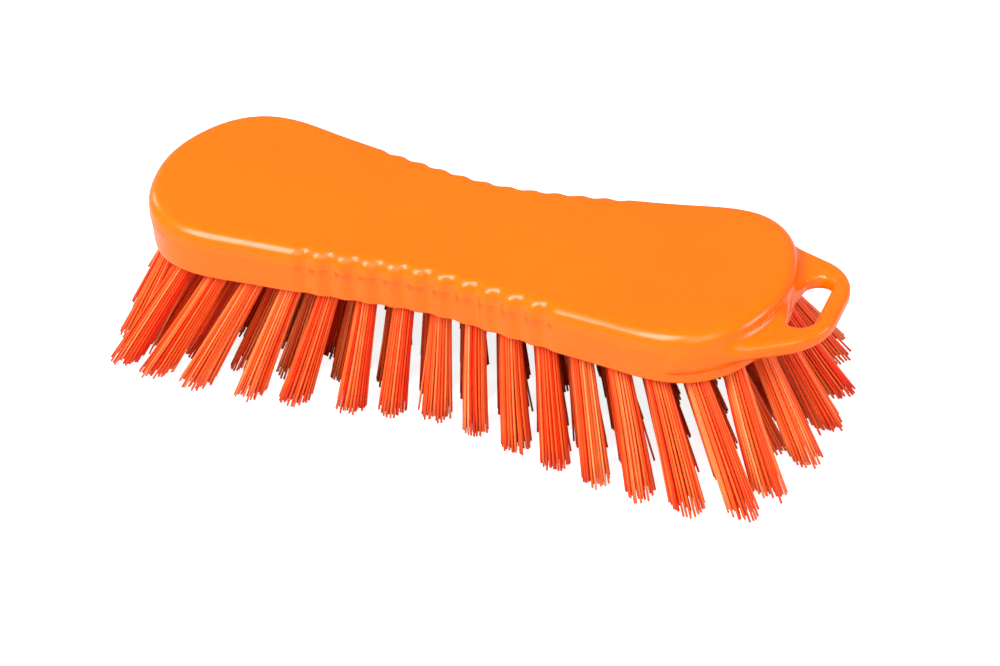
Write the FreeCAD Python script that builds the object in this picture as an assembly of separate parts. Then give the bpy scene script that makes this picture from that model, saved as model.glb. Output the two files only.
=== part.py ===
import FreeCAD, Part
import math
import os

# Hand scrubbing brush: one injection-moulded plastic block with a hang loop, and tufts of
# stiff plastic filament, each folded over a flat metal anchor strip and driven into its own
# blind hole. Millimetres, +Z up. The brush stands on its bristle tips: the origin is on the
# plane of the tips, under the middle of the block, and the hang loop is at the +X end.

# ---- driving dimensions -------------------------------------------------------------------
BLOCK_LENGTH = 150.0
BLOCK_THICKNESS = 11.2            # at mid length
FREE_BRISTLE = 27.0               # from the block's underside to the tips, at mid length
UNDERSIDE_RISE = 2.7              # how much the underside curves up at each end
TOP_RISE = 4.1                    # how much the top face curves up at each end
TOP_EDGE_RADIUS = 3.1
BOTTOM_EDGE_RADIUS = 0.7

# One quarter of the block's outline seen from above: a waist at mid length that swells into
# a lobe near each end. The other three quarters are its mirror images.
QUARTER_OUTLINE = [(0.0, 20.6), (14.0, 21.8), (30.0, 23.9), (45.0, 25.9), (54.5, 26.9),
                   (62.0, 25.4), (68.5, 20.3), (73.2, 11.0)]

FLUTE_PITCH = 5.62                # finger flutes along each side of the waist
FLUTES_EACH_WAY = 5               # flutes on each side of the middle one
FLUTE_RADIUS = 4.8
FLUTE_DEPTH = 0.75

LOOP_TIP_X = 86.3                 # outermost point of the hang loop
LOOP_THICKNESS = 3.8
LOOP_BELOW_TOP = 6.75             # the loop's middle follows the top face, this far below it
LOOP_ARM_START = (60.0, 26.2)     # where an arm leaves the block's side
LOOP_ARM_END_Y = 12.4             # where an arm's straight edge would meet the tip's edge
LOOP_CORNER_RADIUS = 13.9
LOOP_EDGE_RADIUS = 1.4
SLOT_CENTRE_X = 79.2
SLOT_RADIUS = 2.95
SLOT_STRAIGHT = 6.55              # half of the slot's straight part, from its middle line

HOLE_DIAMETER = 4.8
HOLE_DEPTH = 8.0
TIP_DIAMETER = 6.6
FLARE_START = 1.8                 # a tuft begins to spread this far below the block
FIELD_OFFSET = 1.1                # the bristle field sits this far towards the loop
EDGE_MARGIN = 4.9                 # from the block's side to the centres of the outer holes

ROOT_PITCH = 8.55                 # between the rows of holes, along the block
TIP_PITCH = 10.3                  # between the same rows at the tips
TIP_PITCH_GROWTH = 0.0009         # the rows lean out a little more towards the ends
SPLAY_WAIST = 1.33                # width of a row at its tips over its width at the holes
SPLAY_LOBE = 1.55
SPLAY_FULL_ROW = 5                # the splay grows from the middle row to this one
LAST_ROW = 7                      # main rows are numbered from -7 to 7

# Places of the tufts across a row, as shares of the row's reach to each side.
WAIST_SHARES = [-1.0, 0.0, 1.0]
WAIST_LAST_ROW = 2
NECK_SHARES = [-1.0, -0.28, 0.28, 1.0]
NECK_ROW = 3
LOBE_SHARES = [-1.0, -0.34, 0.34, 1.0]
WAIST_HALF_ROW_SHARES = [-0.58, 0.58]
LOBE_HALF_ROW_SHARES = [-0.67, 0.0, 0.67]

# How far the tips of some main rows stand along X from where an even fan would put them.
ROW_LEAN = {-7: 2.2, -6: -1.0, -5: -2.6, -4: -0.9, -3: -1.6, -2: 1.0}

# The rows that close the field round the two ends: hole x, hole y, tip x, tip y of each tuft.
PLAIN_END_ROWS = [
    [(-68.5, -7.6, -79.8, -12.8), (-70.0, 0.0, -82.5, 0.0), (-68.5, 7.6, -79.8, 12.8)],
    [(-65.6, -15.1, -76.0, -23.6), (-63.4, 0.0, -75.7, 0.0), (-65.6, 15.1, -76.0, 23.6)],
]
LOOP_END_ROWS = [
    [(66.1, -15.1, 78.4, -24.4), (63.4, 0.0, 77.2, 0.0), (66.1, 15.1, 78.4, 24.4)],
    [(69.5, -7.6, 82.6, -12.8), (70.4, 0.0, 83.8, 0.0), (69.5, 7.6, 82.6, 12.8)],
]

TRIM_FLAT = 23.0                  # the tips are level this far each way from the middle
TRIM_RISE = 5.0                   # and rise by this much at the block's ends
TRIM_POWER = 1.5

ANCHOR_WIDTH = 5.8
ANCHOR_THICKNESS = 0.45
ANCHOR_HEIGHT = 1.8
ANCHOR_CLEAR = 0.6                # folded filament between the anchor and the hole's end

HALF_LENGTH = BLOCK_LENGTH / 2.0
UNDERSIDE_Z = FREE_BRISTLE
TOP_Z = FREE_BRISTLE + BLOCK_THICKNESS
EDGE_TOLERANCE = 0.2              # for finding the edges of the top face and of the underside


# ---- shared curves ------------------------------------------------------------------------
def vec(x, y, z):
    return FreeCAD.Vector(x, y, z)


def underside(x):
    """Height of the block's underside at x."""
    return UNDERSIDE_Z + UNDERSIDE_RISE * (x / HALF_LENGTH) ** 2


def top_face(x):
    """Height of the block's top face at x."""
    return TOP_Z + TOP_RISE * (x / HALF_LENGTH) ** 2


def half_width(x):
    """Half the block's width at x, from the quarter outline."""
    x = abs(x)
    for (x0, y0), (x1, y1) in zip(QUARTER_OUTLINE, QUARTER_OUTLINE[1:]):
        if x <= x1:
            return y0 + (y1 - y0) * (x - x0) / (x1 - x0)
    return QUARTER_OUTLINE[-1][1]


def trim_height(x):
    """Height of the trimmed bristle tips at x."""
    beyond = max(0.0, abs(x) - TRIM_FLAT) / (HALF_LENGTH - TRIM_FLAT)
    return TRIM_RISE * beyond ** TRIM_POWER


def smooth(t):
    """Smooth step from 0 to 1."""
    t = min(max(t, 0.0), 1.0)
    return t * t * (3.0 - 2.0 * t)


# ---- block --------------------------------------------------------------------------------
def outline_wire(z):
    """The block's closed outline at height z, as one smooth curve."""
    first = QUARTER_OUTLINE
    quarter_2 = [(-x, y) for x, y in reversed(first[1:])]
    quarter_3 = [(-x, -y) for x, y in first]
    quarter_4 = [(x, -y) for x, y in reversed(first[1:])]
    ring = first + [(HALF_LENGTH, 0.0)] + quarter_4 + quarter_3 + [(-HALF_LENGTH, 0.0)] + quarter_2
    ring = [point for index, point in enumerate(ring) if point not in ring[:index]]
    curve = Part.BSplineCurve()
    curve.interpolate([vec(x, y, z) for x, y in ring], PeriodicFlag=True)
    return Part.Wire([curve.toShape()])


def bent_slab(low_height, high_height):
    """A slab as wide as needed between two heights that both curve up towards the ends."""
    reach = HALF_LENGTH * 1.2
    y = -HALF_LENGTH
    a, b = vec(-reach, y, low_height(reach)), vec(reach, y, low_height(reach))
    c, d = vec(reach, y, high_height(reach)), vec(-reach, y, high_height(reach))
    low = Part.Arc(a, vec(0, y, low_height(0.0)), b).toShape()
    high = Part.Arc(c, vec(0, y, high_height(0.0)), d).toShape()
    side = Part.Wire([low, Part.makeLine(b, c), high, Part.makeLine(d, a)])
    return Part.Face(side).extrude(vec(0, 2.0 * HALF_LENGTH, 0))


def edges_near(shape, surface_height):
    """Edges of a solid whose middle lies on a given curved height."""
    found = []
    for edge in shape.Edges:
        first, last = edge.ParameterRange
        middle = edge.valueAt((first + last) / 2.0)
        start = edge.valueAt(first)
        gaps = [abs(point.z - surface_height(point.x)) for point in (middle, start)]
        if max(gaps) < EDGE_TOLERANCE:
            found.append(edge)
    return found


def plain_block():
    """The block before flutes, loop and holes: bent, with its edges rounded."""
    column = Part.Face(outline_wire(0.0)).extrude(vec(0, 0, TOP_Z * 2.0))
    block = column.common(bent_slab(underside, top_face))
    block = block.makeFillet(TOP_EDGE_RADIUS, edges_near(block, top_face))
    return block.makeFillet(BOTTOM_EDGE_RADIUS, edges_near(block, underside))


def flute_cutters():
    """Upright cylinders that groove both sides of the waist."""
    cutters = []
    for side in (-1, 1):
        for index in range(-FLUTES_EACH_WAY, FLUTES_EACH_WAY + 1):
            x = index * FLUTE_PITCH
            y = side * (half_width(x) + FLUTE_RADIUS - FLUTE_DEPTH)
            cutters.append(Part.makeCylinder(FLUTE_RADIUS, TOP_Z, vec(x, y, UNDERSIDE_Z / 2.0)))
    return Part.makeCompound(cutters)


def loop_outline():
    """Outer edge of the hang loop: two converging arms and a rounded tip, closed in the block."""
    start_x, start_y = LOOP_ARM_START
    run = LOOP_TIP_X - start_x
    drop = start_y - LOOP_ARM_END_Y
    length = math.hypot(run, drop)
    half_turn = (math.pi / 2.0 - math.atan2(drop, run)) / 2.0
    setback = LOOP_CORNER_RADIUS * math.tan(half_turn)
    arm_x = LOOP_TIP_X - setback * run / length
    arm_y = LOOP_ARM_END_Y + setback * drop / length
    tip_y = LOOP_ARM_END_Y - setback
    middle_x = LOOP_TIP_X - LOOP_CORNER_RADIUS * (1.0 - math.cos(half_turn))
    middle_y = tip_y + LOOP_CORNER_RADIUS * math.sin(half_turn)
    start, arm_end = vec(start_x, start_y, 0), vec(arm_x, arm_y, 0)
    corner, tip = vec(middle_x, middle_y, 0), vec(LOOP_TIP_X, tip_y, 0)

    def mirrored(point):
        return vec(point.x, -point.y, 0)

    edges = [
        Part.makeLine(mirrored(start), mirrored(arm_end)),
        Part.Arc(mirrored(arm_end), mirrored(corner), mirrored(tip)).toShape(),
        Part.makeLine(mirrored(tip), tip),
        Part.Arc(tip, corner, arm_end).toShape(),
        Part.makeLine(arm_end, start),
        Part.makeLine(start, mirrored(start)),
    ]
    return Part.Wire(edges)


def slot_outline():
    """The hang hole: a slot with round ends, just clear of the block's end."""
    left, right = SLOT_CENTRE_X - SLOT_RADIUS, SLOT_CENTRE_X + SLOT_RADIUS
    low, high = -SLOT_STRAIGHT, SLOT_STRAIGHT
    top_middle = vec(SLOT_CENTRE_X, high + SLOT_RADIUS, 0)
    bottom_middle = vec(SLOT_CENTRE_X, low - SLOT_RADIUS, 0)
    edges = [
        Part.makeLine(vec(right, low, 0), vec(right, high, 0)),
        Part.Arc(vec(right, high, 0), top_middle, vec(left, high, 0)).toShape(),
        Part.makeLine(vec(left, high, 0), vec(left, low, 0)),
        Part.Arc(vec(left, low, 0), bottom_middle, vec(right, low, 0)).toShape(),
    ]
    return Part.Wire(edges)


def hang_loop():
    """The loop with rounded edges, bent like the top face, before it joins the block."""
    column = Part.Face(loop_outline()).cut(Part.Face(slot_outline()))
    column = column.extrude(vec(0, 0, TOP_Z * 2.0))
    half = LOOP_THICKNESS / 2.0
    plate = column.common(bent_slab(lambda x: top_face(x) - LOOP_BELOW_TOP - half,
                                    lambda x: top_face(x) - LOOP_BELOW_TOP + half))
    inside = LOOP_ARM_START[0] + EDGE_TOLERANCE
    rims = [edge for edge in plate.Edges
            if edge.BoundBox.XMax > inside and edge.BoundBox.ZLength < 0.9 * LOOP_THICKNESS]
    return plate.makeFillet(LOOP_EDGE_RADIUS, rims)


# ---- bristle field ------------------------------------------------------------------------
def row_shares(number):
    """Where across its row each tuft stands; half rows lie between the main rows."""
    number = abs(number)
    if not float(number).is_integer():
        return WAIST_HALF_ROW_SHARES if number < NECK_ROW else LOBE_HALF_ROW_SHARES
    if number <= WAIST_LAST_ROW:
        return WAIST_SHARES
    return NECK_SHARES if number == NECK_ROW else LOBE_SHARES


def row_lean(number):
    """The lean of a main row's tips; a half row takes the mean of its two neighbours."""
    neighbours = math.floor(number), math.ceil(number)
    return sum(ROW_LEAN.get(row, 0.0) for row in neighbours) / 2.0


def main_rows():
    """Rows across the block, every half pitch, as (hole x, hole y, tip x, tip y) lists."""
    rows = []
    for half_steps in range(-2 * LAST_ROW, 2 * LAST_ROW + 1):
        number = half_steps / 2.0
        hole_x = ROOT_PITCH * number
        tip_x = TIP_PITCH * number * (1.0 + TIP_PITCH_GROWTH * number ** 2) + row_lean(number)
        reach = half_width(hole_x) - EDGE_MARGIN
        splay = SPLAY_WAIST + (SPLAY_LOBE - SPLAY_WAIST) * smooth(abs(number) / SPLAY_FULL_ROW)
        row = [(hole_x, share * reach, tip_x, share * reach * splay) for share in row_shares(number)]
        rows.append(row)
    return rows


def tuft_axis(spot):
    """Where a tuft leaves the block, and the unit direction in which it points."""
    hole_x, hole_y, tip_x, tip_y = spot
    hole_x += FIELD_OFFSET
    tip_x += FIELD_OFFSET
    mouth = vec(hole_x, hole_y, underside(hole_x))
    tip = vec(tip_x, tip_y, trim_height(tip_x))
    direction = (tip - mouth).normalize()
    return mouth, direction, tip


def anchor_strip(mouth, direction):
    """The flat metal strip that a tuft is folded over, near the end of its hole."""
    box = Part.makeBox(ANCHOR_WIDTH, ANCHOR_THICKNESS, ANCHOR_HEIGHT,
                       vec(-ANCHOR_WIDTH / 2.0, -ANCHOR_THICKNESS / 2.0, ANCHOR_CLEAR))
    turn = FreeCAD.Rotation(vec(0, 0, 1), direction)
    box.Placement = FreeCAD.Placement(mouth - direction * HOLE_DEPTH, turn)
    return box


def hole_tool(mouth, direction):
    """A round hole from outside the underside to its blind end."""
    extra = HOLE_DIAMETER / 2.0
    return Part.makeCylinder(HOLE_DIAMETER / 2.0, HOLE_DEPTH + extra, mouth + direction * extra,
                             direction * -1.0)


def tuft_solid(mouth, direction, tip, anchor):
    """One tuft: straight in its hole, then spreading to its tip, trimmed level."""
    straight = HOLE_DEPTH + FLARE_START
    shank = Part.makeCylinder(HOLE_DIAMETER / 2.0, straight, mouth - direction * HOLE_DEPTH, direction)
    flare_from = mouth + direction * FLARE_START
    length = (tip - flare_from).Length
    spread = (TIP_DIAMETER - HOLE_DIAMETER) / 2.0 / length
    long_length = length + TIP_DIAMETER
    brush = Part.makeCone(HOLE_DIAMETER / 2.0, HOLE_DIAMETER / 2.0 + spread * long_length, long_length,
                          flare_from, direction)
    room = 4.0 * TIP_DIAMETER
    corner = vec(tip.x - room / 2.0, tip.y - room / 2.0, tip.z - room)
    trim = Part.makeBox(room, room, room, corner)
    return shank.fuse(brush).cut(trim).cut(anchor).removeSplitter()


# ---- build --------------------------------------------------------------------------------
def save(name, solids):
    """Write one node; it may hold several separate solids."""
    shape = solids[0] if len(solids) == 1 else Part.makeCompound(solids)
    shape.exportStep(os.path.join("parts", name + ".step"))


def main():
    os.makedirs("parts", exist_ok=True)
    rows = PLAIN_END_ROWS + main_rows() + LOOP_END_ROWS
    holes, anchors = [], []
    for index, row in enumerate(rows, start=1):
        tufts = []
        for spot in row:
            mouth, direction, tip = tuft_axis(spot)
            anchor = anchor_strip(mouth, direction)
            tufts.append(tuft_solid(mouth, direction, tip, anchor))
            anchors.append(anchor)
            holes.append(hole_tool(mouth, direction))
        save("tuft_row_%02d" % index, tufts)
    save("anchor_strips", anchors)
    block = plain_block().cut(flute_cutters()).fuse(hang_loop()).removeSplitter()
    block = block.cut(Part.makeCompound(holes)).cut(Part.makeCompound(anchors))
    save("block", block.Solids)
    print("rows", len(rows), "tufts", len(anchors), "block solids", len(block.Solids),
          "valid", block.isValid(), "volume cm3", round(block.Volume / 1000.0, 2))


main()
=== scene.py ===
import math

import bpy
import numpy as np
from mathutils import Matrix, Vector


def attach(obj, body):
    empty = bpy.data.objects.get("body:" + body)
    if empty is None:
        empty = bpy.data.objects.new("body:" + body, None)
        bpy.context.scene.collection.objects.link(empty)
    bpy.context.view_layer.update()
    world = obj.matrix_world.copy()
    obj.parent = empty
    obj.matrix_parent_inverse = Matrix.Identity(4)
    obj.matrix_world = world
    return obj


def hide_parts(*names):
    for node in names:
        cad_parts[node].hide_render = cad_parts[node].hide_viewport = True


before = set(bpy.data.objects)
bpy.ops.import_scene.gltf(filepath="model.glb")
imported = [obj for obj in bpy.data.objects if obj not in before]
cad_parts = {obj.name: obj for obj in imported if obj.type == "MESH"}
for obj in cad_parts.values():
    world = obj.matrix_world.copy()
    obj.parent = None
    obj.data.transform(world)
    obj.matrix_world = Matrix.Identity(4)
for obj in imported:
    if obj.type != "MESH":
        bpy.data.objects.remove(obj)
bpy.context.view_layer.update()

# Hand scrubbing brush: a glossy moulded block with a hang loop, and tufts of stiff plastic
# filament. Lengths in the constants are millimetres and are turned into metres by MM, apart
# from the stage, the lights and the camera, which are in metres.

MM = 0.001

# ---- the block, as in the CAD part ---------------------------------------------------------
HALF_LENGTH = 75.0
UNDERSIDE = 27.0                # height of the underside at mid length
UNDERSIDE_RISE = 2.7            # and how much higher it is at the ends
TOP = 38.2
TOP_RISE = 4.1
TOP_EDGE_RADIUS = 3.1
TOP_EDGE_RINGS = 13             # rings of points round the top edge's fillet
BOTTOM_EDGE_RADIUS = 0.7
BOTTOM_EDGE_RINGS = 5
BOTTOM_EDGE_START = 18.0        # degrees round the lower fillet to the first of its rings
FACE_COLUMNS = 24               # quads across the top face and the underside
QUARTER_OUTLINE = [(0.0, 20.6), (14.0, 21.8), (30.0, 23.9), (45.0, 25.9), (54.5, 26.9),
                   (62.0, 25.4), (68.5, 20.3), (73.2, 11.0)]
OUTLINE_STEPS = 400             # points along one side of the block
SMOOTH_ANGLE = 38.0             # degrees between faces, above which an edge stays sharp

WAVE_PITCH = 5.62               # finger flutes on both sides of the waist
WAVE_REACH = 5.5                # in pitches, from mid length
WAVE_DEPTH_LOW = 0.45
WAVE_DEPTH_HIGH = 0.95
WAVE_FADE = 0.6                 # power that fades the flutes out round the top edge's fillet

PARTING_HEIGHT = 7.4            # above the underside
PARTING_BEAD = 0.05
PARTING_HALF_WIDTH = 0.16
PARTING_CREST = 0.35            # half width of the bead's flat crest, over that of the bead
LOWER_STEP = 0.04               # the side steps in this much just below the parting line
LOWER_DRAFT = 0.3               # and leans in this much by the lower fillet
LOWER_SIDE_SHARES = (0.33, 0.66, 1.0)

# ---- the hang loop -------------------------------------------------------------------------
LOOP_BELOW_TOP = 6.75           # the loop's middle plane follows the top face, this far below
LOOP_HALF_THICKNESS = 1.9
LOOP_EDGE_RADIUS = 1.5
LOOP_EDGE_SHARE = 0.45          # the edge radius is at most this share of the band's width
UPPER_ROOT_FILLET = 2.4
LOWER_ROOT_FILLET = 1.2
LOOP_TIP_X = 86.3
ARM_LINE = (60.0, 26.2, 12.4)   # start x, start y, and y where it would meet the tip's line
LOOP_CORNER_RADIUS = 13.9
LEDGE_START_X = 53.0            # the outer edge starts inside the block's side here
LEDGE_START_DEPTH = 0.6
LEDGE_GROWTH = 0.85             # and comes out by this much
LEDGE_LENGTH = 6.0              # over this length, as a ledge along the block's side
ARM_BLEND_X = 56.0              # the ledge turns into the straight arm from here
ARM_BLEND_LENGTH = 5.0
ARM_BLEND_SOFTNESS = 0.12       # square millimetres
ARM_BLEND_LIMIT = 0.15          # the blend stands out from ledge and arm by no more than this
SLOT_CENTRE_X = 79.2
SLOT_RADIUS = 2.95
SLOT_STRAIGHT = 6.55
# The slot's edge on the block's side: from inside the block, out of its end, into the slot.
SLOT_ROOT = [(57.0, 15.0), (66.0, 9.0), (72.0, 2.6), (74.0, 0.4), (75.05, 0.4), (75.3, 1.6),
             (75.65, 3.2), (76.0, 4.8)]
# Places along the loop's outer edge, and the places across the band on its inner edge.
BAND_PAIRS = [((53.0, 26.0), (57.0, 15.0)), ((66.0, 23.0), (70.5, 4.3)), ((71.5, 20.2), (75.05, 0.4)),
              ((75.5, 18.0), (76.25, 6.4)), ((80.0, 15.6), (78.6, 9.45)), ((83.6, 12.2), (80.9, 8.9)),
              ((85.7, 7.9), (82.0, 7.5)), ((86.3, 4.0), (82.15, 4.5)), ((86.3, 0.0), (82.15, 0.0))]
# How finely the loop is made: points along each piece of its edges, and of its band.
ARM_STEPS = 90
CORNER_STEPS = 40
TIP_STEPS = 16
SLOT_END_STEPS = 60
SLOT_SIDE_STEPS = 20
BAND_STEPS = 150
SECTION_STEPS = 33
EDGE_SPACING = 0.1

# ---- tufts ---------------------------------------------------------------------------------
HOLE_RADIUS = 2.4
HOLE_DEPTH = 8.0
HOLE_LIP = 0.25
HOLE_SIDES = 32
CUTTER_REACH = 2.5              # how far a hole's cutter stands out of the block
FLAT_END_TOLERANCE = 0.02       # points this near a CAD tuft's lowest one are its flat tip
HEAD_TOLERANCE = 0.15           # and points this near its innermost one are its head
AXIS_PASSES = 3                 # passes that find the head, each with a better axis
WELD_DECIMALS = 4               # points of a CAD mesh that agree to this are one
FILAMENT_RADIUS = 0.25
FILAMENT_SIDES = 8
FILAMENT_RINGS = 8
FILAMENT_ROOT = 5.2             # how far a filament goes into its hole
PACK_RINGS = 4                  # rings of filaments round the middle one
PACK_PITCH = 0.53
PACK_JITTER = 0.035
LEAST_REACH = 1e-6              # keeps a filament in the very middle from dividing by zero
CLUMPS = 7                      # filaments of a tuft lean together in clumps
CLUMP_REACH = 1.3
TIP_SPREAD = 1.46               # width of a tuft at its tip over its width at the hole
SPREAD_JITTER = 0.05
STRETCH_JITTER = 0.06
CLUMP_SHIFT = 0.12              # how far clumps, filaments and whole tips stray sideways
FILAMENT_SHIFT = 0.08
TIP_SHIFT = 0.12
STRAY_SHARE = 0.03              # share of the filaments that stand out of their tuft
STRAY_REACH = (0.3, 1.4)
STRAY_CORE = 0.3                # filaments nearer the tuft's middle than this stray less
FILAMENT_BOW = 0.06
TUFT_BOW = 0.08
FLARE_POWER = 1.3               # how late along its length a tuft widens
CUT_JITTER = 0.6                # the trimmed heights of the filaments
SHORT_SHARE = 0.16
SHORT_BY = (0.4, 2.2)
TUFT_CUT_JITTER = 0.15
LEAST_CUT = 0.02                # no filament ends nearer the trimmed level than this
FILAMENT_TONE = 0.5             # how much colour varies from filament to filament
CLUMP_TONE = 0.35               # and from clump to clump
STREAK_SHARE = 0.16             # colour along a filament, over that from one to the next
FIRST_SEED = 1001


# ---- small helpers -------------------------------------------------------------------------
def mesh_object(name, points, quads, caps, flat_caps=False):
    """An object from an array of points in millimetres, quads, and faces of other sizes."""
    mesh = bpy.data.meshes.new(name)
    quads = np.asarray(quads, dtype=np.int32).reshape(-1, 4)
    caps = [np.asarray(c, dtype=np.int32) for c in caps]
    sizes = np.concatenate([np.full(len(quads), 4), [len(c) for c in caps]]).astype(np.int32)
    loops = np.concatenate([quads.ravel()] + caps).astype(np.int32)
    starts = np.concatenate([[0], np.cumsum(sizes)[:-1]]).astype(np.int32)
    mesh.vertices.add(len(points))
    mesh.vertices.foreach_set("co", (np.asarray(points) * MM).astype(np.float32).ravel())
    mesh.loops.add(len(loops))
    mesh.loops.foreach_set("vertex_index", loops)
    mesh.polygons.add(len(sizes))
    mesh.polygons.foreach_set("loop_start", starts)
    mesh.polygons.foreach_set("loop_total", sizes)
    mesh.update(calc_edges=True)
    if flat_caps:
        sharp = mesh.attributes.new("sharp_face", "BOOLEAN", "FACE")
        values = np.zeros(len(sizes), dtype=bool)
        values[len(quads):] = True
        sharp.data.foreach_set("value", values)
    mesh.validate()
    obj = bpy.data.objects.new(name, mesh)
    bpy.context.scene.collection.objects.link(obj)
    return obj


def tube_quads(rings, size, start=0):
    """Quads between closed rings of points that follow one another."""
    quads = []
    for r in range(rings - 1):
        a, b = start + r * size, start + (r + 1) * size
        for j in range(size):
            k = (j + 1) % size
            quads.append([a + j, a + k, b + k, b + j])
    return quads


def shade_smooth(obj):
    obj.data.polygons.foreach_set("use_smooth", [True] * len(obj.data.polygons))


def smooth(t):
    t = np.clip(t, 0.0, 1.0)
    return t * t * (3.0 - 2.0 * t)


def underside(x):
    return UNDERSIDE + UNDERSIDE_RISE * (x / HALF_LENGTH) ** 2


def parting_line(x):
    return underside(x) + PARTING_HEIGHT


def top(x):
    return TOP + TOP_RISE * (x / HALF_LENGTH) ** 2


# ---- the block's outline -------------------------------------------------------------------
def ring_slopes(ring, step):
    """Slopes of the closed smooth curve through a ring of points, step apart."""
    count = len(ring)
    before = np.roll(step, 1)
    system = np.zeros((count, count))
    right_hand = np.zeros((count, 2))
    for i in range(count):
        prev, after = (i - 1) % count, (i + 1) % count
        system[i, prev] += 1.0 / before[i]
        system[i, i] += 2.0 / before[i] + 2.0 / step[i]
        system[i, after] += 1.0 / step[i]
        right_hand[i] = 3.0 * ((ring[i] - ring[prev]) / before[i] ** 2
                               + (ring[after] - ring[i]) / step[i] ** 2)
    return np.linalg.solve(system, right_hand)


def outline_side():
    """Points and outward normals of the outline's +Y side, from the -X end to the +X end."""
    quarter = np.array(QUARTER_OUTLINE)
    right = np.vstack([quarter, [[HALF_LENGTH, 0.0]]])
    plus = np.vstack([right[::-1] * [-1, 1], right[1:]])
    ring = np.vstack([plus, plus[-2:0:-1] * [1, -1]])
    step = np.linalg.norm(np.roll(ring, -1, axis=0) - ring, axis=1)
    slope = ring_slopes(ring, step)
    knots = np.concatenate([[0.0], np.cumsum(step)])
    where = np.linspace(0.0, knots[len(plus) - 1], OUTLINE_STEPS + 1)
    seg = np.clip(np.searchsorted(knots, where, side="right") - 1, 0, len(plus) - 2)
    h = step[seg][:, None]
    t = ((where - knots[seg]) / step[seg])[:, None]
    p0, p1 = ring[seg], ring[seg + 1]
    m0, m1 = slope[seg], slope[seg + 1]
    point = ((2 * t**3 - 3 * t**2 + 1) * p0 + (t**3 - 2 * t**2 + t) * h * m0
             + (3 * t**2 - 2 * t**3) * p1 + (t**3 - t**2) * h * m1)
    tangent = ((6 * t**2 - 6 * t) * (p0 - p1) / h + (3 * t**2 - 4 * t + 1) * m0
               + (3 * t**2 - 2 * t) * m1)
    tangent /= np.linalg.norm(tangent, axis=1)[:, None]
    point[0], point[-1] = [-HALF_LENGTH, 0.0], [HALF_LENGTH, 0.0]
    normal = np.column_stack([-tangent[:, 1], tangent[:, 0]])
    return point, normal


SIDE, SIDE_NORMAL = outline_side()


def half_width(x):
    return np.interp(x, SIDE[:, 0], SIDE[:, 1])


def wave(x):
    """Finger flutes: 1 in the middle of a flute, 0 on the ridges and outside the waist."""
    inside = np.abs(x) < WAVE_REACH * WAVE_PITCH
    return np.where(inside, 0.5 + 0.5 * np.cos(2.0 * math.pi * x / WAVE_PITCH), 0.0)


def outline_ring(inset, height, wave_depth):
    """One closed ring of points: the outline moved in by inset and by the flutes."""
    total = inset + wave_depth * wave(SIDE[:, 0])
    plus = SIDE - SIDE_NORMAL * total[:, None]
    plus[0, 1] = plus[-1, 1] = 0.0
    ring = np.vstack([plus, plus[-2:0:-1] * [1, -1]])
    return np.column_stack([ring, height(ring[:, 0])])


def raised(surface, by):
    """The height function of a surface raised by a constant."""
    return lambda x: surface(x) + by


def lower_side(share):
    """The height function of a ring between the parting line and the lower fillet."""
    return lambda x: parting_line(x) * (1 - share) + (underside(x) + BOTTOM_EDGE_RADIUS) * share


def block_rings():
    """Rings from the edge of the top face, over the side, to the edge of the underside."""
    rings = []
    for angle in np.linspace(0.0, 90.0, TOP_EDGE_RINGS):
        a = math.radians(angle)
        drop = TOP_EDGE_RADIUS * (1.0 - math.cos(a))
        rings.append(outline_ring(TOP_EDGE_RADIUS * (1.0 - math.sin(a)), raised(top, -drop),
                                  WAVE_DEPTH_HIGH * math.sin(a) ** WAVE_FADE))
    for inset, offset in ((0.0, 1.0), (-PARTING_BEAD, PARTING_CREST), (-PARTING_BEAD, -PARTING_CREST),
                          (LOWER_STEP, -1.0)):
        rings.append(outline_ring(inset, raised(parting_line, offset * PARTING_HALF_WIDTH),
                                  WAVE_DEPTH_HIGH))
    for share in LOWER_SIDE_SHARES:
        rings.append(outline_ring(LOWER_STEP + (LOWER_DRAFT - LOWER_STEP) * share, lower_side(share),
                                  WAVE_DEPTH_HIGH + (WAVE_DEPTH_LOW - WAVE_DEPTH_HIGH) * share))
    for angle in np.linspace(BOTTOM_EDGE_START, 90.0, BOTTOM_EDGE_RINGS):
        a = math.radians(angle)
        rings.append(outline_ring(LOWER_DRAFT + BOTTOM_EDGE_RADIUS * (1.0 - math.cos(a)),
                                  raised(underside, BOTTOM_EDGE_RADIUS * (1.0 - math.sin(a))),
                                  WAVE_DEPTH_LOW))
    return rings


def face_fill(ring, first, height, start, upward):
    """Points, quads and triangles across one ring, in strips from its +Y to its -Y side.

    first is the index of the ring's first point, and start that of the first new point.
    """
    count = len(ring)
    half = count // 2
    shares = np.linspace(0.0, 1.0, FACE_COLUMNS + 1)[1:-1]
    inner = []
    for i in range(1, half):
        a, b = ring[i], ring[count - i]
        line = a[None, :] * (1 - shares[:, None]) + b[None, :] * shares[:, None]
        line[:, 2] = height(line[:, 0])
        inner.append(line)

    def index(i, c):
        if c == 0:
            return first + i
        if c == FACE_COLUMNS:
            return first + (count - i) % count
        return start + (i - 1) * (FACE_COLUMNS - 1) + c - 1

    quads, fans = [], []
    for i in range(1, half - 1):
        for c in range(FACE_COLUMNS):
            quad = [index(i, c), index(i, c + 1), index(i + 1, c + 1), index(i + 1, c)]
            quads.append(quad if upward else quad[::-1])
    for c in range(FACE_COLUMNS):
        left = [first, index(1, c + 1), index(1, c)]
        right = [first + half, index(half - 1, c), index(half - 1, c + 1)]
        fans.append(left if upward else left[::-1])
        fans.append(right if upward else right[::-1])
    return np.vstack(inner), quads, fans


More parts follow.
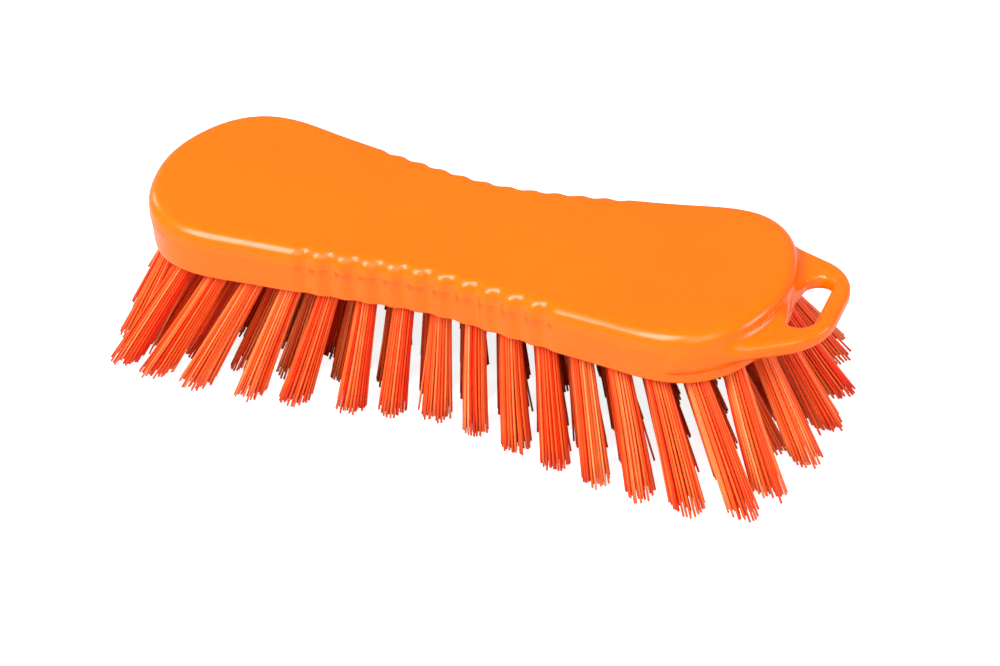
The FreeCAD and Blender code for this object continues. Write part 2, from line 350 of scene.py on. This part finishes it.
def plain_block():
    """The block without loop or holes, as one closed mesh."""
    rings = block_rings()
    size = len(rings[0])
    last = (len(rings) - 1) * size
    above, top_quads, top_fans = face_fill(rings[0], 0, top, last + size, True)
    below, low_quads, low_fans = face_fill(rings[-1], last, underside, last + size + len(above), False)
    quads = tube_quads(len(rings), size) + top_quads + low_quads
    return mesh_object("block_body", np.vstack(rings + [above, below]), quads, top_fans + low_fans)


# ---- the hang loop -------------------------------------------------------------------------
def arc(centre, radius, start, end, steps):
    a = np.radians(np.linspace(start, end, steps))
    return np.column_stack([centre[0] + radius * np.cos(a), centre[1] + radius * np.sin(a)])


def straight_to_middle(x, y, steps):
    """Points along a line of constant x, from just after y to the loop's middle."""
    return np.column_stack([np.full(steps, x), np.linspace(y, 0.0, steps + 1)[1:]])


def path_lengths(path):
    """Distance along a 2-D path to each of its points."""
    return np.concatenate([[0.0], np.cumsum(np.linalg.norm(np.diff(path, axis=0), axis=1))])


def resample(path, at):
    """Points at distances along a 2-D path."""
    along = path_lengths(path)
    return np.column_stack([np.interp(at, along, path[:, 0]), np.interp(at, along, path[:, 1])])


def dense(path):
    """The same path with more points, evenly spaced."""
    length = np.linalg.norm(np.diff(path, axis=0), axis=1).sum()
    return np.vstack([path, resample(path, np.arange(0.0, length, EDGE_SPACING))])


def nearest_along(path, point):
    return path_lengths(path)[np.argmin(np.linalg.norm(path - np.array(point), axis=1))]


def outer_edge():
    """The loop's +Y outer edge: a ledge on the block's side, the arm, a corner and the tip."""
    x0, y0, y1 = ARM_LINE
    run, drop = LOOP_TIP_X - x0, y0 - y1
    length = math.hypot(run, drop)
    slope = math.degrees(math.atan2(drop, run))
    setback = LOOP_CORNER_RADIUS * math.tan(math.radians(90.0 - slope) / 2.0)
    tip_y = y1 - setback
    xs = np.linspace(LEDGE_START_X, LOOP_TIP_X - setback * run / length, ARM_STEPS)
    line = y0 - (xs - x0) * drop / run
    growth = LEDGE_GROWTH * smooth((xs - LEDGE_START_X) / LEDGE_LENGTH)
    ledge = half_width(xs) - LEDGE_START_DEPTH + growth
    near = 0.5 * (line + ledge + np.sqrt((line - ledge) ** 2 + ARM_BLEND_SOFTNESS))
    blend = smooth((xs - ARM_BLEND_X) / ARM_BLEND_LENGTH)
    ys = ledge * (1.0 - blend) + near * blend
    ys = np.minimum(ys, np.maximum(line, ledge) + ARM_BLEND_LIMIT)
    centre = (LOOP_TIP_X - LOOP_CORNER_RADIUS, tip_y)
    corner = arc(centre, LOOP_CORNER_RADIUS, 90.0 - slope, 0.0, CORNER_STEPS)
    tip = straight_to_middle(LOOP_TIP_X, tip_y, TIP_STEPS)
    return np.vstack([np.column_stack([xs, ys])[:-1], corner, tip])


def inner_edge():
    """The loop's +Y inner edge: from inside the block round the slot to its far side."""
    slot_end = arc((SLOT_CENTRE_X, SLOT_STRAIGHT), SLOT_RADIUS, 180.0, 0.0, SLOT_END_STEPS)
    far_side = straight_to_middle(SLOT_CENTRE_X + SLOT_RADIUS, SLOT_STRAIGHT, SLOT_SIDE_STEPS)
    return np.vstack([np.array(SLOT_ROOT), slot_end, far_side])


def loop_paths():
    """Outer and inner edge of the +Y half of the loop, paired point by point, root to tip."""
    outer, inner = outer_edge(), inner_edge()
    out_at = np.array([nearest_along(outer, a) for a, b in BAND_PAIRS])
    in_at = np.array([nearest_along(inner, b) for a, b in BAND_PAIRS])
    at = np.linspace(out_at[0], out_at[-1], BAND_STEPS)
    return resample(outer, at), resample(inner, np.interp(at, out_at, in_at))


def distance_outside(points):
    """Signed distance of 2-D points from every second point of the outline, positive outside."""
    flipped = np.column_stack([points[:, 0], np.abs(points[:, 1])])
    gap = flipped[:, None, :] - SIDE[None, ::2, :]
    nearest = np.argmin((gap ** 2).sum(axis=2), axis=1)
    rows = np.arange(len(points))
    return (gap[rows, nearest] * SIDE_NORMAL[::2][nearest]).sum(axis=1)


def root_lift(gap, radius):
    """How much a fillet against the block thickens the loop, this far from the block."""
    near = np.clip(gap, 0.0, radius)
    return radius - np.sqrt(radius ** 2 - (radius - near) ** 2)


def loop_section(outer, inner, edges):
    """One closed section of the loop's band between two paired points."""
    width = np.linalg.norm(inner - outer)
    share = np.linspace(0.0, 1.0, SECTION_STEPS)
    share = 0.5 - 0.5 * np.cos(math.pi * share)
    plan = outer + (inner - outer) * share[:, None]
    r = min(LOOP_EDGE_RADIUS, LOOP_EDGE_SHARE * width)
    from_edge = np.minimum(np.linalg.norm(plan[:, None] - edges[None], axis=2).min(axis=1), r)
    half = LOOP_HALF_THICKNESS - r + np.sqrt(np.maximum(r * r - (r - from_edge) ** 2, 0.0))
    gap = distance_outside(plan)
    middle = top(plan[:, 0]) - LOOP_BELOW_TOP
    upper = np.column_stack([plan, middle + half + root_lift(gap, UPPER_ROOT_FILLET)])
    lower = np.column_stack([plan, middle - half - root_lift(gap, LOWER_ROOT_FILLET)])[::-1]
    return np.vstack([upper, lower])


def hang_loop():
    """The loop as one closed tube whose two ends are inside the block."""
    outer, inner = loop_paths()
    mirror = np.array([1.0, -1.0])
    outer = np.vstack([outer, outer[-2::-1] * mirror])
    inner = np.vstack([inner, inner[-2::-1] * mirror])
    edges = np.vstack([dense(outer), dense(inner)])
    sections = [loop_section(a, b, edges) for a, b in zip(outer, inner)]
    size = len(sections[0])
    last = (len(sections) - 1) * size
    caps = [list(range(size))[::-1], [last + j for j in range(size)]]
    return mesh_object("loop_body", np.vstack(sections), tube_quads(len(sections), size), caps)


# ---- tufts, read from the CAD model --------------------------------------------------------
def islands(mesh):
    """The separate solids of a CAD mesh, as arrays of points in millimetres."""
    points = np.zeros(len(mesh.vertices) * 3, dtype=np.float32)
    mesh.vertices.foreach_get("co", points)
    points = points.reshape(-1, 3).astype(float) / MM
    keys, welded = np.unique(np.round(points, WELD_DECIMALS), axis=0, return_inverse=True)
    welded = welded.ravel()
    parent = np.arange(len(keys))
    edges = np.zeros(len(mesh.edges) * 2, dtype=np.int32)
    mesh.edges.foreach_get("vertices", edges)
    pairs = welded[edges].reshape(-1, 2)
    while True:
        low = np.minimum(parent[pairs[:, 0]], parent[pairs[:, 1]])
        new = parent.copy()
        np.minimum.at(new, pairs[:, 0], low)
        np.minimum.at(new, pairs[:, 1], low)
        new = new[new]
        if (new == parent).all():
            break
        parent = new
    return [keys[parent == root] for root in np.unique(parent)]


def middle_of(points):
    return 0.5 * (points.min(axis=0) + points.max(axis=0))


def tuft_axis(points):
    """Mouth, unit direction and tip of a CAD tuft, from its flat ends."""
    tip = middle_of(points[points[:, 2] < points[:, 2].min() + FLAT_END_TOLERANCE])
    head = points[np.argmax(points[:, 2])]
    for _ in range(AXIS_PASSES):
        direction = (tip - head) / np.linalg.norm(tip - head)
        along = points @ direction
        head = middle_of(points[along < along.min() + HEAD_TOLERANCE])
    direction = (tip - head) / np.linalg.norm(tip - head)
    return head + direction * HOLE_DEPTH, direction, tip


TUFT_ROWS = sorted(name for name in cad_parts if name.startswith("tuft_row_"))
TUFTS = {name: [tuft_axis(p) for p in islands(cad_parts[name].data)] for name in TUFT_ROWS}


def basis(direction):
    """Two unit vectors square to a direction, the first as near to +X as it can be."""
    side = np.array([1.0, 0.0, 0.0])
    u = side - direction * (side @ direction)
    u /= np.linalg.norm(u)
    return u, np.cross(direction, u)


def hole_cutters():
    """One mesh with a closed cutter for every tuft hole, each with a small lip chamfer."""
    turn = np.linspace(0.0, 2.0 * math.pi, HOLE_SIDES, endpoint=False)
    outer_radius = HOLE_RADIUS + 2.0 * HOLE_LIP
    profile = [(-HOLE_DEPTH, HOLE_RADIUS), (-HOLE_LIP, HOLE_RADIUS), (HOLE_LIP, outer_radius),
               (CUTTER_REACH, outer_radius)]
    points, quads, caps = [], [], []
    start = 0
    for name in TUFT_ROWS:
        for mouth, direction, _ in TUFTS[name]:
            u, v = basis(direction)
            for along, radius in profile:
                points.append(mouth + direction * along + radius * (np.outer(np.cos(turn), u)
                                                                    + np.outer(np.sin(turn), v)))
            quads += tube_quads(len(profile), HOLE_SIDES, start)
            caps.append([start + j for j in range(HOLE_SIDES)][::-1])
            caps.append([start + (len(profile) - 1) * HOLE_SIDES + j for j in range(HOLE_SIDES)])
            start += len(profile) * HOLE_SIDES
    return mesh_object("hole_cutters", np.vstack(points), quads, caps)


def combine(obj, other, operation):
    """Apply one boolean to obj and remove the other object."""
    modifier = obj.modifiers.new("cut", "BOOLEAN")
    modifier.operation = operation
    modifier.solver = "MANIFOLD"
    modifier.object = other
    graph = bpy.context.evaluated_depsgraph_get()
    mesh = bpy.data.meshes.new_from_object(obj.evaluated_get(graph))
    obj.modifiers.clear()
    old = obj.data
    obj.data = mesh
    bpy.data.meshes.remove(old)
    bpy.data.objects.remove(other)


def make_block(material):
    obj = plain_block()
    combine(obj, hang_loop(), "UNION")
    combine(obj, hole_cutters(), "DIFFERENCE")
    obj.name = "block_visual"
    obj.data.name = "block_visual"
    shade_smooth(obj)
    obj.data.set_sharp_from_angle(angle=math.radians(SMOOTH_ANGLE))
    obj.data.materials.clear()
    obj.data.materials.append(material)
    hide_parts("block")
    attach(obj, "root")


# ---- filaments -----------------------------------------------------------------------------
def pack_positions(rng):
    """Where the filaments of one tuft stand in their hole, and which clump each belongs to."""
    spots = [(0.0, 0.0)]
    for ring in range(1, PACK_RINGS + 1):
        count = 6 * ring
        turn = rng.uniform(0.0, 2.0 * math.pi)
        for k in range(count):
            a = turn + 2.0 * math.pi * k / count
            r = PACK_PITCH * ring
            spots.append((r * math.cos(a), r * math.sin(a)))
    spots = np.array(spots)
    spots += rng.normal(0.0, PACK_JITTER, spots.shape)
    reach = np.linalg.norm(spots, axis=1)
    limit = HOLE_RADIUS - FILAMENT_RADIUS
    spots *= np.minimum(1.0, limit / np.maximum(reach, LEAST_REACH))[:, None]
    seeds = rng.normal(0.0, CLUMP_REACH, (CLUMPS, 2))
    clump = np.argmin(((spots[:, None] - seeds[None]) ** 2).sum(axis=2), axis=1)
    return spots, clump


def tip_positions(rng, spots, clump):
    """Where the filaments end: spread out, leaning in clumps, with a few strays."""
    count = len(spots)
    spread = TIP_SPREAD * (1.0 + rng.normal(0.0, SPREAD_JITTER))
    stretch = 1.0 + rng.normal(0.0, STRETCH_JITTER, 2)
    ends = spots * spread * stretch
    ends += rng.normal(0.0, CLUMP_SHIFT, (CLUMPS, 2))[clump]
    ends += rng.normal(0.0, FILAMENT_SHIFT, ends.shape)
    ends += rng.normal(0.0, TIP_SHIFT, 2)
    stray = rng.random(count) < STRAY_SHARE
    outward = spots / np.maximum(np.linalg.norm(spots, axis=1), STRAY_CORE)[:, None]
    ends += stray[:, None] * outward * rng.uniform(*STRAY_REACH, (count, 1))
    return ends


def trim_heights(rng, count):
    """How far above the trimmed level each filament ends: nearly level, but never quite."""
    cut = np.abs(rng.normal(0.0, CUT_JITTER, count))
    short = rng.random(count) < SHORT_SHARE
    cut += short * rng.uniform(*SHORT_BY, count)
    cut += rng.normal(0.0, TUFT_CUT_JITTER)
    return cut


def tuft_filaments(rng, mouth, direction, tip):
    """Centre lines of one tuft's filaments, as an array filament x ring x 3, and tones."""
    u, v = basis(direction)
    spots, clump = pack_positions(rng)
    count = len(spots)
    ends = tip_positions(rng, spots, clump)
    bow = rng.normal(0.0, FILAMENT_BOW, (count, 2)) + rng.normal(0.0, TUFT_BOW, 2)
    cut = trim_heights(rng, count)
    length = np.linalg.norm(tip - mouth)
    reach = 1.0 - np.maximum(cut, 0.0) / length / abs(direction[2])
    # The first ring is inside the hole, and the others go from its mouth to the tip.
    shares = np.concatenate([[-FILAMENT_ROOT / length], np.linspace(0.0, 1.0, FILAMENT_RINGS - 1)])
    lines = np.zeros((count, len(shares), 3))
    for j, t in enumerate(shares):
        flare = max(t, 0.0) ** FLARE_POWER
        arch = math.sin(max(t, 0.0) * math.pi)
        off = spots * (1.0 - flare) + ends * flare + bow * arch
        along = np.broadcast_to(t if t <= 0 else t * reach, (count,))
        lines[:, j] = mouth + (tip - mouth) * along[:, None] + off[:, :1] * u + off[:, 1:] * v
    # The side offsets are square to the tuft, so a leaning tuft's ends are brought level here.
    wanted = tip[2] + np.maximum(cut, LEAST_CUT)
    for i in range(count):
        a, b = lines[i, -2], lines[i, -1]
        k = (wanted[i] - a[2]) / (b[2] - a[2])
        lines[i, -1] = a + (b - a) * k
    tone = rng.normal(0.0, 1.0, count) * FILAMENT_TONE
    tone += rng.normal(0.0, 1.0, CLUMPS)[clump] * CLUMP_TONE
    return lines, tone


def filament_mesh(name, lines, tones):
    """Closed round filaments along their centre lines, as one object."""
    count, rings, _ = lines.shape
    axis = np.gradient(lines, axis=1)
    axis /= np.linalg.norm(axis, axis=2)[:, :, None]
    side = np.zeros_like(axis)
    side[:, :, 0] = 1.0
    u = side - axis * (side * axis).sum(axis=2)[:, :, None]
    u /= np.linalg.norm(u, axis=2)[:, :, None]
    v = np.cross(axis, u)
    turn = np.linspace(0.0, 2.0 * math.pi, FILAMENT_SIDES, endpoint=False)
    circle = (np.cos(turn)[None, None, :, None] * u[:, :, None, :]
              + np.sin(turn)[None, None, :, None] * v[:, :, None, :])
    points = lines[:, :, None, :] + FILAMENT_RADIUS * circle
    base = (np.arange(count) * rings * FILAMENT_SIDES)[:, None, None]
    r = (np.arange(rings - 1) * FILAMENT_SIDES)[None, :, None]
    j = np.arange(FILAMENT_SIDES)[None, None, :]
    k = (j + 1) % FILAMENT_SIDES
    a, b = base + r, base + r + FILAMENT_SIDES
    quads = np.stack([a + j, a + k, b + k, b + j], axis=-1).reshape(-1, 4)
    roots = np.arange(count) * rings * FILAMENT_SIDES
    tips = roots + (rings - 1) * FILAMENT_SIDES
    caps = [s + np.arange(FILAMENT_SIDES)[::-1] for s in roots]
    caps += [s + np.arange(FILAMENT_SIDES) for s in tips]
    obj = mesh_object(name, points.reshape(-1, 3), quads, caps, flat_caps=True)
    shade_smooth(obj)
    tone = obj.data.attributes.new("tone", "FLOAT", "POINT")
    tone.data.foreach_set("value", np.repeat(tones, rings * FILAMENT_SIDES).astype(np.float32))
    return obj


def make_tufts(material):
    for number, name in enumerate(TUFT_ROWS):
        rng = np.random.default_rng(FIRST_SEED + number)
        lines, tones = zip(*(tuft_filaments(rng, *tuft) for tuft in TUFTS[name]))
        obj = filament_mesh("filaments_%02d" % (number + 1), np.concatenate(lines), np.concatenate(tones))
        obj.data.materials.append(material)
        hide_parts(name)
        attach(obj, "root")


# ---- materials -----------------------------------------------------------------------------
def new_material(name):
    material = bpy.data.materials.new(name)
    material.use_nodes = True
    nodes = material.node_tree.nodes
    return material, nodes, material.node_tree.links, nodes["Principled BSDF"]


def object_noise(nodes, links, scale, detail):
    """A noise pattern fixed to the object."""
    place = nodes.new("ShaderNodeTexCoord")
    noise = nodes.new("ShaderNodeTexNoise")
    noise.inputs["Scale"].default_value = scale
    noise.inputs["Detail"].default_value = detail
    links.new(place.outputs["Object"], noise.inputs["Vector"])
    return noise.outputs["Fac"]


def colour_ramp(nodes, links, value, stops):
    """Colours at positions along a value."""
    ramp = nodes.new("ShaderNodeValToRGB")
    elements = ramp.color_ramp.elements
    for element, (position, colour) in zip(elements, stops):
        element.position = position
        element.color = (*colour, 1.0)
    for position, colour in stops[len(elements):]:
        elements.new(position).color = (*colour, 1.0)
    links.new(value, ramp.inputs["Fac"])
    return ramp.outputs["Color"]


def vary_roughness(nodes, links, shader, value, low, high):
    rough = nodes.new("ShaderNodeMapRange")
    rough.inputs["To Min"].default_value = low
    rough.inputs["To Max"].default_value = high
    links.new(value, rough.inputs["Value"])
    links.new(rough.outputs["Result"], shader.inputs["Roughness"])


def block_plastic():
    """Glossy injection-moulded plastic with faint flow clouds and a fine surface ripple."""
    material, nodes, links, shader = new_material("orange_block_plastic")
    cloud = object_noise(nodes, links, scale=28.0, detail=3.0)
    stops = [(0.3, (0.94, 0.142, 0.001)), (0.7, (0.96, 0.157, 0.001))]
    links.new(colour_ramp(nodes, links, cloud, stops), shader.inputs["Base Color"])
    grain = object_noise(nodes, links, scale=900.0, detail=2.0)
    vary_roughness(nodes, links, shader, grain, low=0.20, high=0.28)
    bump = nodes.new("ShaderNodeBump")
    bump.inputs["Strength"].default_value = 0.04
    bump.inputs["Distance"].default_value = 0.0002
    links.new(grain, bump.inputs["Height"])
    links.new(bump.outputs["Normal"], shader.inputs["Normal"])
    shader.inputs["Subsurface Weight"].default_value = 0.25
    shader.inputs["Subsurface Radius"].default_value = (1.0, 0.25, 0.05)
    shader.inputs["Subsurface Scale"].default_value = 0.004
    shader.inputs["IOR"].default_value = 1.38
    return material


def filament_plastic():
    """Stiff coloured filament, a little lighter or deeper from one to the next; the lightest, peach ones
    carry painted sheen.
    """
    material, nodes, links, shader = new_material("orange_filament")
    tone = nodes.new("ShaderNodeAttribute")
    tone.attribute_name = "tone"
    spread = nodes.new("ShaderNodeMapRange")
    spread.inputs["From Min"].default_value = -1.6
    spread.inputs["From Max"].default_value = 1.6
    links.new(tone.outputs["Fac"], spread.inputs["Value"])
    mix = nodes.new("ShaderNodeMath")
    mix.operation = "MULTIPLY_ADD"
    mix.inputs[1].default_value = STREAK_SHARE
    links.new(object_noise(nodes, links, scale=260.0, detail=2.0), mix.inputs[0])
    links.new(spread.outputs["Result"], mix.inputs[2])
    # Deep red to orange is the filaments' own colour; the peach last stop is painted sheen, given to
    # filaments at random in place of glossy streaks.
    stops = [(0.2, (0.88, 0.022, 0.003)), (0.62, (0.98, 0.118, 0.018)), (1.0, (1.0, 0.32, 0.11))]
    links.new(colour_ramp(nodes, links, mix.outputs["Value"], stops), shader.inputs["Base Color"])
    shader.inputs["Roughness"].default_value = 0.34
    shader.inputs["IOR"].default_value = 1.4
    shader.inputs["Specular IOR Level"].default_value = 0.3
    return material


def anchor_metal():
    """Thin drawn wire strip: bright metal with a fine uneven sheen."""
    material, nodes, links, shader = new_material("anchor_wire")
    grain = object_noise(nodes, links, scale=1500.0, detail=2.0)
    vary_roughness(nodes, links, shader, grain, low=0.25, high=0.45)
    shader.inputs["Base Color"].default_value = (0.72, 0.70, 0.66, 1.0)
    shader.inputs["Metallic"].default_value = 1.0
    return material


def dress_node(name, material):
    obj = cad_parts[name]
    for slot in obj.material_slots:
        slot.material = material
    if not obj.material_slots:
        obj.data.materials.append(material)


# ---- stage, lights and camera, in metres ---------------------------------------------------
FLOOR_HALF_SIZE = 3.0
FLOOR_GREY = 0.62
FLOOR_LIFT = 0.85               # what the camera sees of the floor is lifted to plain white
WORLD_STRENGTH = 0.27
LIGHT_TARGET = (0.0, 0.0, 0.03)
# Name, place, width, height and watts of each area light.
LIGHTS = [("key", (-0.27, -0.52, 0.84), 0.46, 0.62, 14.0),
          ("fill", (0.75, -0.9, 1.15), 1.1, 1.1, 12.0),
          ("side", (0.95, 0.20, 0.25), 0.34, 0.2, 2.6),
          ("back", (-0.9, 0.32, 0.48), 0.16, 0.4, 1.4)]
CAMERA_AZIMUTH = 23.981         # degrees, as are the next two
CAMERA_ELEVATION = 35.910
CAMERA_ROLL = -1.637
CAMERA_PLACE = (0.164722, -0.352463, 0.290131)
CAMERA_LENS = 75.14             # millimetres, for the sensor width below
CAMERA_SENSOR = 36.0


def make_floor():
    mesh = bpy.data.meshes.new("floor")
    r = FLOOR_HALF_SIZE
    mesh.from_pydata([(-r, -r, 0), (r, -r, 0), (r, r, 0), (-r, r, 0)], [], [(0, 1, 2, 3)])
    floor = bpy.data.objects.new("floor", mesh)
    bpy.context.scene.collection.objects.link(floor)
    material, nodes, links, shader = new_material("pale_floor")
    shader.inputs["Base Color"].default_value = (FLOOR_GREY, FLOOR_GREY, FLOOR_GREY, 1.0)
    shader.inputs["Roughness"].default_value = 0.9
    shader.inputs["Specular IOR Level"].default_value = 0.1
    path = nodes.new("ShaderNodeLightPath")
    lift = nodes.new("ShaderNodeMath")
    lift.operation = "MULTIPLY"
    lift.inputs[1].default_value = FLOOR_LIFT
    links.new(path.outputs["Is Camera Ray"], lift.inputs[0])
    shader.inputs["Emission Color"].default_value = (1.0, 1.0, 1.0, 1.0)
    links.new(lift.outputs["Value"], shader.inputs["Emission Strength"])
    mesh.materials.append(material)


def area_light(name, place, size_x, size_y, power):
    data = bpy.data.lights.new(name, "AREA")
    data.shape = "RECTANGLE"
    data.size, data.size_y = size_x, size_y
    data.energy = power
    light = bpy.data.objects.new(name, data)
    light.location = place
    light.rotation_euler = (Vector(LIGHT_TARGET) - Vector(place)).to_track_quat("-Z", "Y").to_euler()
    bpy.context.scene.collection.objects.link(light)


def make_lights():
    world = bpy.data.worlds.new("studio")
    bpy.context.scene.world = world
    world.use_nodes = True
    background = world.node_tree.nodes["Background"]
    background.inputs["Color"].default_value = (1.0, 1.0, 1.0, 1.0)
    background.inputs["Strength"].default_value = WORLD_STRENGTH
    for light in LIGHTS:
        area_light(*light)


def make_camera():
    azimuth, elevation = math.radians(CAMERA_AZIMUTH), math.radians(CAMERA_ELEVATION)
    back = Vector((math.sin(azimuth) * math.cos(elevation), -math.cos(azimuth) * math.cos(elevation),
                   math.sin(elevation)))
    level = (-back).cross(Vector((0.0, 0.0, 1.0))).normalized()
    upright = level.cross(-back)
    roll = math.radians(CAMERA_ROLL)
    right = level * math.cos(roll) + upright * math.sin(roll)
    up = upright * math.cos(roll) - level * math.sin(roll)
    data = bpy.data.cameras.new("camera")
    data.sensor_width = CAMERA_SENSOR
    data.lens = CAMERA_LENS
    camera = bpy.data.objects.new("camera", data)
    turn = Matrix((right, up, back)).transposed()
    camera.matrix_world = Matrix.Translation(CAMERA_PLACE) @ turn.to_4x4()
    bpy.context.scene.collection.objects.link(camera)
    bpy.context.scene.camera = camera


# ---- build ---------------------------------------------------------------------------------
make_camera()
make_floor()
make_lights()
make_block(block_plastic())
make_tufts(filament_plastic())
dress_node("anchor_strips", anchor_metal())
bpy.context.scene.view_settings.view_transform = "Standard"
